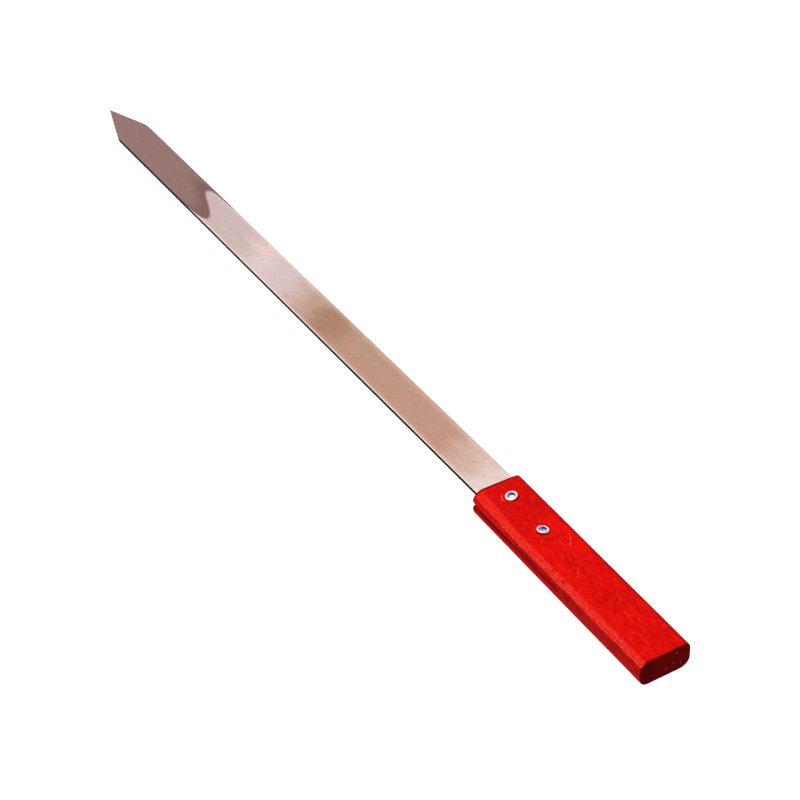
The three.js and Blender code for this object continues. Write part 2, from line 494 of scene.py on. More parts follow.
def makeHandle(size, wood):
    rivets = [placeOf("front_rivet"), placeOf("rear_rivet")]
    kerfEnd = size["kerfLength"]
    rim = size["buttRimRadius"]
    frontSteps = [s * size["frontCornerRadius"] for s in (0, 0.03, 0.09, 0.18, 0.3, 0.45, 0.65, 1)]
    slotted = frontSteps + spread(size["frontCornerRadius"], kerfEnd - 0.8, 94)[1:]
    slotted += [kerfEnd - 0.5, kerfEnd - 0.25, kerfEnd]
    solid = spread(kerfEnd, size["length"] - rim, 84)[1:]
    solid += [size["length"] - rim * s for s in (0.7, 0.42, 0.2, 0.06, 0)]
    points = []
    worn = []
    faces = []
    acrossSteps = 24
    stripSteps = 4

    def add(x, y, z, chamfer=0.0):
        points.append((x, y, z))
        worn.append(chamfer)
        return len(points) - 1

    def chamferShare(index):
        # points 4..11 are the left side, 12..21 the chamfer, and the top follows
        if index < 6 or index > 21:
            return 0.0
        return 0.4 if index == 21 else 1.0

    def dented(x, y, z):
        # the rolled rims were pressed into the wood
        drop = 0.0
        for rx, ry in rivets:
            away = math.hypot(x - rx, y - ry)
            drop += size["rivetDent"] * math.exp(-((away - 2.7) / 0.7) ** 2) if away > 2.7 else 0
            drop += size["rivetDent"] if away <= 2.7 else 0
        return z - drop

    def sawn(x, y):
        left, right = size["front"]["left"], size["front"]["right"]
        lead = mix(size["frontLead"][0], size["frontLead"][1], clamp01((y - left) / (right - left)))
        return x - lead * (1 - smooth(x, 0, 7))

    def ring(x, lip):
        upper, lower = handleSection(size, x, lip)
        above = []
        for i, (y, z) in enumerate(upper):
            onTop = z > 5.5 and y > -11
            above.append(add(sawn(x, y), y, dented(x, y, z) if onTop else z, chamferShare(i)))
        below = [add(sawn(x, y), y, z) for y, z in lower]
        return above, below

    def stitch(first, second, flip=False):
        for j in range(len(first) - 1):
            quad = (first[j], first[j + 1], second[j + 1], second[j])
            faces.append(quad[::-1] if flip else quad)

    def slotSpan(x, ends):
        a, b = points[ends[0]], points[ends[1]]
        inner = [add(sawn(x, y), y, a[2]) for y in spread(a[1], b[1], acrossSteps)[1:-1]]
        return [ends[0]] + inner + [ends[1]]

    def strip(x, a, b):
        inner = [add(x, mix(points[a][1], points[b][1], t), mix(points[a][2], points[b][2], t))
                 for t in spread(0, 1, stripSteps)[1:-1]]
        return [a] + inner + [b]

    previous = None
    for x in slotted:
        lip = 1 - smooth(x, kerfEnd - 0.8, kerfEnd)
        above, below = ring(x, lip)
        ceiling = slotSpan(x, (above[0], above[-1]))
        floor = slotSpan(x, (below[0], below[-1]))
        if previous is None:
            faces.append(tuple(above + ceiling[-2:0:-1]))
            faces.append(tuple(below + floor[-2:0:-1]))
        else:
            for old, new in zip(previous, (above, below, ceiling, floor)):
                stitch(old, new)
        previous = (above, below, ceiling, floor)
    above, below, ceiling, floor = previous
    endWall = [strip(kerfEnd, a, b) for a, b in zip(ceiling, floor)]
    for first, second in zip(endWall, endWall[1:]):
        stitch(first, second)
    leftStrip, rightStrip = endWall[0], endWall[-1]
    for x in solid:
        nextAbove, nextBelow = ring(x, 0.0)
        nextLeft = strip(x, nextAbove[0], nextBelow[0])
        nextRight = strip(x, nextAbove[-1], nextBelow[-1])
        stitch(above, nextAbove)
        stitch(below, nextBelow)
        stitch(leftStrip, nextLeft)
        stitch(rightStrip, nextRight)
        above, below, leftStrip, rightStrip = nextAbove, nextBelow, nextLeft, nextRight
    faces.append(tuple(above + rightStrip[1:-1] + below[::-1] + leftStrip[-2:0:-1]))
    piece = makePiece("handle_wood", points, faces, [wood])
    piece.data.attributes.new("chamfer", "FLOAT", "POINT").data.foreach_set("value", worn)
    closeUp(piece)
    drill(piece, size["boreRadius"])
    markWood(piece.data, size)
    shade(piece, 50)
    return piece


rivetSize = {
    "shankRadius": 2,
    "rimRadius": 2.32,
    "rollRadius": 0.48,
    "wallRadius": 1.8,
    "wallDepth": 0.5,
    "bowlDepth": 0.75,
    "headRadius": 3.5,
}

rivetLook = {
    "plate": "#ffffff",
    "plateDull": "#f0f0f6",
    "tarnish": "#55478e",
    "roughness": 0.5,
}


def makeRivetTree(material):
    tree = bpy.data.node_groups.new("rolledRivet", "GeometryNodeTree")
    add = partial(addNode, tree)
    tree.interface.new_socket("Profile", in_out="INPUT", socket_type="NodeSocketGeometry")
    tree.interface.new_socket("Rivet", in_out="OUTPUT", socket_type="NodeSocketGeometry")
    for name, default in (("Lean forward", 0.0), ("Lean sideways", 0.0), ("Seat height", 0.0),
                          ("Dent depth", 0.00005), ("Split turn", 0.0), ("Split depth", 0.0001),
                          ("Cup reflection turn", 2.6), ("Stretch", 0.0), ("Stretch turn", 2.6)):
        socket = tree.interface.new_socket(name, in_out="INPUT", socket_type="NodeSocketFloat")
        socket.default_value = default
    centre = tree.interface.new_socket("Centre", in_out="INPUT", socket_type="NodeSocketVector")
    centre.default_value = (0, 0, 0)
    given = add("NodeGroupInput").outputs
    curve = add("GeometryNodeMeshToCurve", {"Mesh": given["Profile"]})
    grid = add("GeometryNodeMeshGrid", {
        "Size X": 1.0, "Size Y": 1.0, "Vertices X": 65, "Vertices Y": 97})
    position = add("GeometryNodeInputPosition")
    cell = add("SeparateXYZ", {0: position}).outputs
    turn = add("Math", {0: cell["X"], 1: 0.5}, operation="ADD")
    angle = add("Math", {0: turn, 1: math.tau}, operation="MULTIPLY")
    along = add("Math", {0: cell["Y"], 1: 0.5}, operation="ADD")
    sample = add("GeometryNodeSampleCurve", {
        "Curves": curve, "Factor": along}, mode="FACTOR", use_all_curves=False, data_type="FLOAT")
    drawn = add("SeparateXYZ", {0: sample.outputs["Position"]}).outputs
    cosine = add("Math", {0: angle}, operation="COSINE")
    sine = add("Math", {0: angle}, operation="SINE")
    x = add("Math", {0: drawn["X"], 1: cosine}, operation="MULTIPLY")
    y = add("Math", {0: drawn["X"], 1: sine}, operation="MULTIPLY")
    # only the rolled end leans and goes out of round, the shank stays upright in its bore
    risen = add("MapRange",
                {"Value": drawn["Z"], "From Min": 0.001, "From Max": given["Seat height"]},
                interpolation_type="SMOOTHSTEP")
    leanX = add("Math", {0: x, 1: given["Lean forward"]}, operation="MULTIPLY")
    leanY = add("Math", {0: y, 1: given["Lean sideways"]}, operation="MULTIPLY")
    lean = add("Math", {0: leanX, 1: leanY}, operation="ADD")
    spun = add("CombineXYZ", {"X": x, "Y": y, "Z": drawn["Z"]})
    stretchCos = add("Math", {0: given["Stretch turn"]}, operation="COSINE")
    stretchSin = add("Math", {0: given["Stretch turn"]}, operation="SINE")
    stretchWay = add("CombineXYZ", {"X": stretchCos, "Y": stretchSin})
    reached = add("VectorMath", {0: spun, 1: stretchWay}, operation="DOT_PRODUCT")
    stretched = add("Math", {0: reached.outputs["Value"], 1: given["Stretch"]}, operation="MULTIPLY")
    stretched = add("Math", {0: stretched, 1: risen}, operation="MULTIPLY")
    outward = add("VectorMath", {0: stretchWay, "Scale": stretched}, operation="SCALE")
    # hammer marks on the rolled edge
    hammer = add("TexNoise", {"Vector": spun, "Scale": 620.0, "Detail": 1.0})
    hammered = add("Math", {0: hammer, 1: 0.5}, operation="SUBTRACT")
    dent = add("Math", {0: hammered, 1: given["Dent depth"]}, operation="MULTIPLY")
    away = add("Math", {0: angle, 1: given["Split turn"]}, operation="SUBTRACT")
    cosAway = add("Math", {0: away}, operation="COSINE")
    splitShape = add("MapRange", {
        "Value": cosAway, "From Min": 0.965, "From Max": 1.0}, interpolation_type="SMOOTHSTEP")
    split = add("Math", {0: splitShape, 1: given["Split depth"]}, operation="MULTIPLY")
    rise = add("Math", {0: lean, 1: dent}, operation="ADD")
    riseSplit = add("Math", {0: rise, 1: split}, operation="SUBTRACT")
    shift = add("Math", {0: riseSplit, 1: risen}, operation="MULTIPLY")
    z = add("Math", {0: drawn["Z"], 1: shift}, operation="ADD")
    shaped = add("CombineXYZ", {"X": x, "Y": y, "Z": z})
    shaped = add("VectorMath", {0: shaped, 1: outward}, operation="ADD")
    moved = add("VectorMath", {0: shaped, 1: given["Centre"]}, operation="ADD")
    # painted dark reflection on one side of the wall of the cup
    outside = add("MapRange", {"Value": drawn["X"], "From Min": 0.00201, "From Max": 0.00193})
    inside = add("MapRange", {"Value": drawn["X"], "From Min": 0.0011, "From Max": 0.0015})
    cupReflectionAway = add("Math", {0: angle, 1: given["Cup reflection turn"]}, operation="SUBTRACT")
    cupReflectionCos = add("Math", {0: cupReflectionAway}, operation="COSINE")
    cupReflectionSide = add("MapRange", {
        "Value": cupReflectionCos, "From Min": 0.6, "From Max": 0.85, "To Min": 0.42})
    onWall = add("Math", {0: outside, 1: inside}, operation="MULTIPLY")
    tarnish = add("Math", {0: onWall, 1: cupReflectionSide}, operation="MULTIPLY")
    marked = add("GeometryNodeStoreNamedAttribute",
                 {"Geometry": grid.outputs["Mesh"], "Name": "tarnish", "Value": tarnish},
                 data_type="FLOAT", domain="POINT")
    skin = add("GeometryNodeSetPosition", {"Geometry": marked, "Position": moved})
    closed = add("GeometryNodeMergeByDistance", {"Geometry": skin, "Distance": 2e-6})
    even = add("GeometryNodeSetShadeSmooth", {"Geometry": closed})
    real = add("GeometryNodeRealizeInstances", {"Geometry": even})
    plated = add("GeometryNodeSetMaterial", {"Geometry": real, "Material": material})
    add("NodeGroupOutput", {"Rivet": plated})
    return tree


def makeRivet(name, node, tree, settings):
    low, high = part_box(node)
    x, y = placeOf(node)
    share = x / handleSize["length"]
    seat = mix(handleSize["front"]["top"], handleSize["butt"]["top"], share) - handleSize["rivetDent"]
    headSeat = mix(handleSize["front"]["bottom"], handleSize["butt"]["bottom"], share)
    headTop = (low.z - drawingOrigin.z) / mm
    size = rivetSize
    profile = []
    for a in spread(-90, 0, 12):
        turn = math.radians(a)
        profile.append((size["headRadius"] * math.cos(turn),
                        headSeat - 0.15 + (headSeat - 0.15 - headTop) * math.sin(turn)))
    profile.append((size["headRadius"], headSeat))
    profile += [(size["shankRadius"], headSeat), (size["shankRadius"], seat)]
    rollTop = seat + size["rollRadius"]
    for a in spread(-90, 185, 22):
        turn = math.radians(a)
        profile.append((size["rimRadius"] + size["rollRadius"] * math.cos(turn),
                        rollTop + size["rollRadius"] * math.sin(turn)))
    wallFoot = rollTop - size["wallDepth"]
    profile += [(size["wallRadius"] + 0.06, rollTop - 0.12), (size["wallRadius"], rollTop - 0.25)]
    for a in spread(0, 90, 10):
        turn = math.radians(a)
        profile.append((size["wallRadius"] * 0.97 * math.cos(turn),
                        wallFoot - (size["bowlDepth"] - size["wallDepth"] + 0.3) * math.sin(turn)))
    profile[-1] = (0, profile[-1][1])
    profile[0] = (0, profile[0][1])
    mesh = bpy.data.meshes.new(name)
    edges = [(i, i + 1) for i in range(len(profile) - 1)]
    mesh.from_pydata([(r * mm, 0, z * mm) for r, z in profile], edges, [])
    drawnProfile = bpy.data.objects.new(name + "_profile", mesh)
    bpy.context.scene.collection.objects.link(drawnProfile)
    spin = drawnProfile.modifiers.new("spin", "NODES")
    spin.node_group = tree
    identifiers = {item.name: item.identifier for item in tree.interface.items_tree}
    centre = place(x, y, 0)
    settings = dict(settings, **{"Seat height": seat * mm, "Centre": tuple(centre)})
    for setting, value in settings.items():
        spin[identifiers[setting]] = value
    bpy.context.view_layer.update()
    evaluated = drawnProfile.evaluated_get(bpy.context.evaluated_depsgraph_get())
    spun = bpy.data.meshes.new_from_object(evaluated)
    bpy.data.objects.remove(drawnProfile)
    piece = bpy.data.objects.new(name, spun)
    bpy.context.scene.collection.objects.link(piece)
    shape = bmesh.new()
    shape.from_mesh(spun)
    bmesh.ops.recalc_face_normals(shape, faces=shape.faces)
    shape.to_mesh(spun)
    shape.free()
    spun.set_sharp_from_angle(angle=math.radians(50))
    return piece


# Bright annealed stainless strip: a mirror-like face clouded by rolling, with warm and mauve tints that are
# partly the steel's own and partly painted reflections of the surroundings.
def makeFaceSteel(look):
    material, tree = newMaterial("brightAnnealedSteel")
    add = partial(addNode, tree)
    inMm = drawingCoordinates(tree)
    xyz = add("SeparateXYZ", {0: inMm}).outputs
    u = add("Math", {0: xyz["X"], 1: bladeSize["reach"]}, operation="ADD")
    # clouds 30 to 60 mm long
    cloudWhere = add("Mapping", {"Vector": inMm, "Scale": (1 / 34, 1 / 13, 0)})
    clouds = add("TexNoise", {"Vector": cloudWhere, "Scale": 1.0, "Detail": 3.0, "Roughness": 0.55})
    # the painted dark reflection at the point ends on a slanting line, in mm from the tip across the width
    across = add("MapRange", {"Value": xyz["Y"], "From Min": -10.0, "From Max": 10.0})
    border = add("FloatCurve", {"Value": across})
    curve = border.mapping.curves[0]
    border.mapping.extend = "HORIZONTAL"
    corners = look["darkReflectionBorder"]
    curve.points[0].location = corners[0]
    curve.points[1].location = corners[-1]
    for corner in corners[1:-1]:
        curve.points.new(*corner)
    for point in curve.points:
        point.handle_type = "AUTO_CLAMPED"
    border.mapping.update()
    borderU = add("Math", {
        0: border, 1: look["darkReflectionDepth"], 2: look["darkReflectionStart"]}, operation="MULTIPLY_ADD")
    past = add("Math", {0: u, 1: borderU}, operation="SUBTRACT")
    brightShare = add("MapRange", {
        "Value": past, "From Min": -1.8, "From Max": 2.2}, interpolation_type="SMOOTHSTEP")
    band = add("MapRange", {
        "Value": past, "From Min": -24.0, "From Max": -3.0}, interpolation_type="SMOOTHSTEP")
    # the point painted as a dark reflection, one tone at the tip and another near its border
    darkReflection = add("Mix", {
        0: band, 6: linear(look["darkReflectionTip"]), 7: linear(look["darkReflectionBand"])}, data_type="RGBA")
    wander = add("Math", {0: clouds, 1: 44.0, 2: -22.0}, operation="MULTIPLY_ADD")
    wandered = add("Math", {0: u, 1: wander}, operation="ADD")
    alongShare = add("MapRange", {
        "Value": wandered, "From Min": look["brightFrom"], "From Max": look["brightTo"]})
    # zones along the blade: painted reflections of the surroundings mixed with the steel's own tint
    zones = add("ValToRGB", {0: alongShare}, stops=look["zones"])
    zones.color_ramp.interpolation = "EASE"
    # a paler patch on the right half
    spotX, spotY = look["creamSpot"]
    spotU = add("Math", {0: wandered, 1: -spotX}, operation="ADD")
    spotU = add("Math", {0: spotU, 1: 17.0}, operation="DIVIDE")
    spotV = add("Math", {0: xyz["Y"], 1: -spotY}, operation="ADD")
    spotV = add("Math", {0: spotV, 1: 5.5}, operation="DIVIDE")
    spotWhere = add("CombineXYZ", {"X": spotU, "Y": spotV})
    spotAway = add("VectorMath", {0: spotWhere}, operation="LENGTH")
    spot = add("MapRange",
               {"Value": spotAway.outputs["Value"], "From Min": 1.3, "From Max": 0.2},
               interpolation_type="SMOOTHSTEP")
    withPalePatch = add("Mix", {0: spot, 6: zones, 7: linear(look["cream"])}, data_type="RGBA")
    tint = add("Mix", {0: brightShare, 6: darkReflection.outputs[2], 7: withPalePatch.outputs[2]}, data_type="RGBA")
    # painted highlight along both edges, the left one in a thin line
    offMiddle = add("Math", {0: xyz["Y"]}, operation="ABSOLUTE")
    nearEdge = add("MapRange", {"Value": offMiddle, "From Min": 6.5, "From Max": 9.0,
                                "To Max": 0.2}, interpolation_type="SMOOTHSTEP")
    leftLine = add("MapRange", {"Value": xyz["Y"], "From Min": -8.2, "From Max": -9.1,
                                "To Max": 0.85}, interpolation_type="SMOOTHSTEP")
    edgeHighlight = add("Math", {0: nearEdge, 1: leftLine}, operation="MAXIMUM")
    edgeHighlight = add("Math", {0: edgeHighlight, 1: brightShare}, operation="MULTIPLY")
    tint = add("Mix", {0: edgeHighlight, 6: tint.outputs[2], 7: linear(look["edgeHighlight"])}, data_type="RGBA")
    # faint mottling at about 4 mm
    mottleWhere = add("Mapping", {"Vector": inMm, "Scale": (1 / 2.5, 1 / 1.6, 0)})
    mottle = add("TexNoise", {"Vector": mottleWhere, "Scale": 1.0, "Detail": 3.0})
    mottled = add("MapRange", {
        "Value": mottle, "From Min": 0.3, "From Max": 0.7, "To Min": 0.93, "To Max": 1.06})
    # rusty and greenish blushes 10 mm long
    blushWhere = add("Mapping", {"Vector": inMm, "Scale": (1 / 10, 1 / 5, 0)})
    blush = add("TexNoise", {"Vector": blushWhere, "Scale": 1.0, "Detail": 4.0})
    blushed = add("ValToRGB", {0: blush}, stops=((0.36, look["cool"]), (0.64, look["warm"])))
    tint = add("Mix", {0: 1.0, 6: tint.outputs[2], 7: blushed}, data_type="RGBA", blend_type="MULTIPLY")
    coloured = add("VectorMath", {0: tint.outputs[2], "Scale": mottled}, operation="SCALE")
    grain = add("Mapping", {"Vector": inMm, "Scale": (1 / 14, 1 / 0.5, 0)})
    lines = add("TexNoise", {"Vector": grain, "Scale": 1.0, "Detail": 2.0})
    rough = add("MapRange", {"Value": lines, "From Min": 0.3, "From Max": 0.7,
                             "To Min": look["roughness"] - 0.03,
                             "To Max": look["roughness"] + 0.04})
    bump = add("Bump", {"Height": lines, "Strength": 0.04, "Distance": 0.0001})
    shader = add("BsdfPrincipled", {
        "Base Color": coloured, "Metallic": 1.0, "Roughness": rough, "Normal": bump})
    finishMaterial(tree, shader)
    return material


# Sheared edge of the strip and the left border of its face: rough torn steel, painted nearly black as
# shade.
def makeEdgeSteel():
    material, tree = newMaterial("shadedSteelEdge")
    add = partial(addNode, tree)
    where = add("TexCoord").outputs["Object"]
    streak = add("Mapping", {"Vector": where, "Scale": (400.0, 400.0, 3000.0)})
    tear = add("TexNoise", {"Vector": streak, "Scale": 1.0, "Detail": 3.0})
    colour = add("ValToRGB", {0: tear}, stops=((0.3, "#050303"), (0.7, "#120d0c")))
    shader = add("BsdfPrincipled", {
        "Base Color": colour, "Metallic": 0.0, "Roughness": 0.8, "Specular IOR Level": 0.05})
    finishMaterial(tree, shader)
    return material


# How strongly a point lies on a stroke from one place to another (or on a ring round it, given a radius).
def makeStrokeGroup():
    tree = bpy.data.node_groups.new("stroke", "ShaderNodeTree")
    add = partial(addNode, tree)
    for name in ("Where", "From", "To"):
        tree.interface.new_socket(name, in_out="INPUT", socket_type="NodeSocketVector")
    for name in ("Radius", "Half width", "Strength"):
        tree.interface.new_socket(name, in_out="INPUT", socket_type="NodeSocketFloat")
    tree.interface.new_socket("Mark", in_out="OUTPUT", socket_type="NodeSocketFloat")
    given = add("NodeGroupInput").outputs
    start = add("VectorMath", {0: given["Where"], 1: given["From"]}, operation="SUBTRACT")
    reach = add("VectorMath", {0: given["To"], 1: given["From"]}, operation="SUBTRACT")
    along = add("VectorMath", {0: start, 1: reach}, operation="DOT_PRODUCT")
    whole = add("VectorMath", {0: reach, 1: reach}, operation="DOT_PRODUCT")
    share = add("Math", {
        0: along.outputs["Value"], 1: whole.outputs["Value"]}, operation="DIVIDE", use_clamp=True)
    nearest = add("VectorMath", {0: reach, "Scale": share}, operation="SCALE")
    away = add("VectorMath", {0: start, 1: nearest}, operation="DISTANCE")
    off = add("Math", {0: away.outputs["Value"], 1: given["Radius"]}, operation="SUBTRACT")
    off = add("Math", {0: off}, operation="ABSOLUTE")
    mark = add("MapRange", {"Value": off, "From Min": given["Half width"], "From Max": 0.0,
                            "To Max": given["Strength"]}, interpolation_type="SMOOTHSTEP")
    add("NodeGroupOutput", {"Mark": mark})
    return tree


# Hardwood soaked in red stain under a thin worn varnish: deep saturated red with hardly any shine, painted
# darker on the sides as shade, paler on the chamfer from wear and painted sheen, blotched darker along the
# kerf with painted shade under its front, dark maroon on the sawn ends where the end grain drank it and
# painted shade on the butt.
def makeStainedWood(look, size):
    material, tree = newMaterial("redStainedHardwood")
    add = partial(addNode, tree)
    inMm = drawingCoordinates(tree)
    at = add("SeparateXYZ", {0: inMm}).outputs
    normal = add("TexCoord").outputs["Normal"]
    facing = add("SeparateXYZ", {0: normal}).outputs

    # patterns, each drawn out along the grain: length and width in mm, detail
    patterns = {}
    for name, length, width, detail in (
        ("soak", 16, 8, 3), ("mottle", 3, 2, 3), ("fibre", 18, 0.5, 3), ("fleck", 3, 0.6, 2),
        ("speck", 1.2, 0.5, 3), ("blotch", 5, 1.6, 3), ("wobble", 2.5, 2.5, 1), ("worn", 0.9, 0.9, 2),
        ("bareSpeck", 1.6, 0.9, 2), ("ragged", 5, 5, 3),
    ):
        drawnOut = add("Mapping", {"Vector": inMm, "Scale": (1 / length, 1 / width, 1 / width)})
        pattern = add("TexNoise", {"Vector": drawnOut, "Scale": 1.0, "Detail": detail})
        patterns[name] = pattern.outputs

    # shares from 0 to 1, each a range of some value
    shares = {}
    for name, value, start, end in (
        ("upward", facing["Z"], 0.25, 0.6), ("flatTop", facing["Z"], 0.7, 0.85),
        ("leftward", facing["Y"], -0.3, -0.7), ("rightEdge", facing["Y"], 0.12, 0.45),
        ("frontRim", facing["X"], -0.25, -0.7), ("lowerJaw", at["Z"], -0.6, -1.6),
        ("sheenAndWearAlong", at["X"], -45, 62), ("nearFront", at["X"], 34, 24), ("upperSide", at["Z"], 1.2, 2.4),
        ("flecked", patterns["fleck"]["Fac"], 0.56, 0.74),
        ("blotched", patterns["blotch"]["Fac"], 0.44, 0.58), ("blotchFront", at["X"], 20, 27),
        ("blotchRear", at["X"], 92, 80), ("onTop", at["Z"], 5, 6), ("frontLine", at["X"], 1.3, 0.2),
        ("rearward", at["X"], 84, 106), ("byRivets", at["X"], 40, 26),
        ("soaked", patterns["soak"]["Fac"], 0.42, 0.56), ("endLeft", at["Y"], -6, -13),
        ("streaked", patterns["blotch"]["Fac"], 0.54, 0.7),
        ("worn", patterns["worn"]["Fac"], 0.42, 0.6),
        ("bareSpeck", patterns["bareSpeck"]["Fac"], 0.66, 0.76),
    ):
        shares[name] = add("MapRange", {
            "Value": value, "From Min": start, "From Max": end}, interpolation_type="SMOOTHSTEP")

    tone = None
    for name, weight in (("fibre", 0.2), ("soak", 0.38), ("mottle", 0.42)):
        sockets = {0: patterns[name]["Fac"], 1: weight}
        if tone:
            sockets[2] = tone
        tone = add("Math", sockets, operation="MULTIPLY_ADD" if tone else "MULTIPLY")
    topTones = ((0.36, look["topDark"]), (0.5, look["top"]), (0.64, look["topLight"]))
    top = add("ValToRGB", {0: tone}, stops=topTones)
    # the sides take a darker copy of the top's red: painted shade
    side = add("ValToRGB", {0: tone}, stops=((0.38, look["sideDark"]), (0.52, look["side"])))
    sheenAndWearTones = ((0.34, look["chamferDark"]), (0.5, look["chamfer"]), (0.68, look["chamferPale"]))
    sheenAndWear = add("ValToRGB", {0: patterns["speck"]["Fac"]}, stops=sheenAndWearTones)
    sheenAndWear = add("Mix", {0: shares["sheenAndWearAlong"], 6: linear(look["chamferFront"]), 7: sheenAndWear},
                 data_type="RGBA").outputs[2]
    # the lighter chamfer colour, partly wear and partly painted sheen, starts at a ragged line
    alongShare = add("MapRange", {"Value": at["X"], "From Max": size["length"]})
    sheenAndWearLine = add("ValToRGB", {0: alongShare}, stops=look["sheenAndWearLine"])
    ragged = add("Math", {0: patterns["ragged"]["Fac"], 1: 0.9, 2: sheenAndWearLine}, operation="MULTIPLY_ADD")
    ragged = add("Math", {0: at["Z"], 1: ragged}, operation="SUBTRACT")
    sheenAndWearHere = add("MapRange", {
        "Value": ragged, "From Min": 3.25, "From Max": 3.65}, interpolation_type="SMOOTHSTEP")
    chamfer = add("Attribute", attribute_name="chamfer").outputs["Fac"]
    endGrain = add("Attribute", attribute_name="endGrain").outputs["Fac"]
    kerf = add("Attribute", attribute_name="kerf").outputs["Fac"]

    # each step lays a colour over what is there, where all its shares agree
    colour = side
    strokeGroup = makeStrokeGroup()
    flat = add("VectorMath", {0: inMm, 1: (1, 1, 0)}, operation="MULTIPLY")
    shaken = add("VectorMath", {
        0: patterns["wobble"]["Color"], 1: (0.5, 0.5, 0.5)}, operation="SUBTRACT")
    shaken = add("VectorMath", {0: shaken, 1: (1, 1, 0)}, operation="MULTIPLY")
    unsteady = add("VectorMath", {0: flat, 1: shaken}, operation="ADD")

    def stroke(where, start, end, radius, halfWidth, strength):
        return add("Group", {"Where": where, "From": start, "To": end, "Radius": radius,
                             "Half width": halfWidth, "Strength": strength},
                   node_tree=strokeGroup)

    def lay(over, *amounts):
        amount = amounts[0]
        for other in amounts[1:]:
            amount = add("Math", {0: amount, 1: other}, operation="MULTIPLY")
        over = linear(over) if isinstance(over, str) else over
        return add("Mix", {0: amount, 6: colour, 7: over}, data_type="RGBA").outputs[2]

    colour = lay(look["sideDark"], shares["rearward"], 0.2)
    colour = lay(look["sideDeep"], shares["rearward"], shares["soaked"], 0.45)
    colour = lay(look["sideStreak"], shares["streaked"], 0.45)
    # below the kerf, one flat tone of the painted-shade side red
    colour = lay(look["lowerJaw"], shares["lowerJaw"], 0.8)
    colour = lay(look["sideFront"], shares["nearFront"], shares["upperSide"], 0.8)
    # faces turned up take the top's red over the painted-shade sides
    colour = lay(top, shares["flatTop"])
    colour = lay(look["topFront"], shares["flatTop"], shares["byRivets"], 0.55)
    colour = lay(look["fleck"], shares["flatTop"], shares["flecked"], 0.6)
    # the chamfer paler and pinker: painted sheen where it faces the light, with worn specks
    colour = lay(sheenAndWear, chamfer, sheenAndWearHere, 0.9)
    colour = lay(look["chamferBare"], chamfer, sheenAndWearHere, shares["bareSpeck"], 0.6)
    # painted shade on the rounding of the upper right edge
    colour = lay(look["rightEdgeShade"], shares["rightEdge"], shares["upward"], 0.7)
    # painted shade on the front rim and a dark line along the front edge of the top
    colour = lay(look["outline"], shares["frontRim"], 0.85)
    colour = lay(look["outline"], shares["frontLine"], shares["upward"], 0.9)
    # darker blotches on the left side round the kerf
    heightOnly = add("VectorMath", {0: inMm, 1: (0, 0, 1)}, operation="MULTIPLY")
    nearKerf = stroke(heightOnly, (0, 0, 1.3), (0.001, 0, 1.3), 0, 3.4, 1)
    colour = lay(look["kerfBlotchAndShade"], nearKerf, shares["leftward"], shares["blotched"],
                 shares["blotchFront"], shares["blotchRear"], 0.8)
    # painted shade under the kerf near the front
    underKerf = stroke(heightOnly, (0, 0, -1.0), (0.001, 0, -1.0), 0, 1.0, 1)
    colour = lay(look["kerfBlotchAndShade"], underKerf, shares["leftward"], shares["nearFront"], 0.6)
    for x, y, halfWidth, strength in look["pits"]:
        pit = stroke(unsteady, (x, y, 0), (x + 0.01, y, 0), 0, halfWidth, strength)
        colour = lay(look["pore"], pit)
    for x1, y1, x2, y2, halfWidth, strength in look["scratches"]:
        colour = lay(look["bare"], shares["onTop"], shares["worn"],
                     stroke(unsteady, (x1, y1, 0), (x2, y2, 0), 0, halfWidth, strength))
    for node, radius, x, y, reach, halfWidth, strength in look["punchArcs"]:
        cx, cy = placeOf(node)
        whole = stroke(flat, (cx, cy, 0), (cx + 0.01, cy, 0), radius, halfWidth, strength)
        part = stroke(unsteady, (x, y, 0), (x + 0.01, y, 0), 0, reach, 1.6)
        part = add("Math", {0: part, 1: 1.0}, operation="MINIMUM")
        colour = lay(look["bare"], shares["onTop"], whole, part)
        # painted shadow in a ring under each rolled rim, shifted towards +x
        underRim = stroke(flat, (cx + 0.3, cy, 0), (cx + 0.31, cy, 0), 2.75, 0.45, 0.9)
        colour = lay(look["rimShadow"], shares["onTop"], underRim)
    colour = lay(look["kerf"], kerf)
    # painted shade inside the kerf near the front
    colour = lay(look["kerfShade"], kerf, shares["nearFront"], 0.4)
    endColour = add("ValToRGB", {
        0: patterns["worn"]["Fac"]}, stops=((0.3, look["endDark"]), (0.6, look["endGrain"])))
    upright = add("VectorMath", {0: inMm, 1: (0, 1, 1)}, operation="MULTIPLY")
    endColour = add("Mix", {
        0: shares["endLeft"], 6: endColour, 7: linear(look["endDeep"])}, data_type="RGBA").outputs[2]
    for y, z, halfWidth in look["buttDots"]:
        dot = stroke(upright, (0, y, z), (0, y + 0.01, z), 0, halfWidth, 0.95)
        endColour = add("Mix", {
            0: dot, 6: endColour, 7: linear(look["endSpeck"])}, data_type="RGBA").outputs[2]
    # the sawn ends in dark maroon: end grain that drank more stain, and painted shade on the butt facing
    # away from the light
    colour = lay(endColour, endGrain)
    grainy = add("MapRange", {"Value": tone, "From Min": 0.35, "From Max": 0.65,
                              "To Min": look["roughness"] + 0.08,
                              "To Max": look["roughness"] - 0.06})
    bump = add("Bump", {"Height": patterns["fibre"]["Fac"], "Strength": 0.1, "Distance": 0.0002})
    shader = add("BsdfPrincipled", {"Base Color": colour, "Roughness": grainy, "IOR": 1.5,
                                    "Specular IOR Level": 0.004, "Normal": bump})
    finishMaterial(tree, shader)
    return material


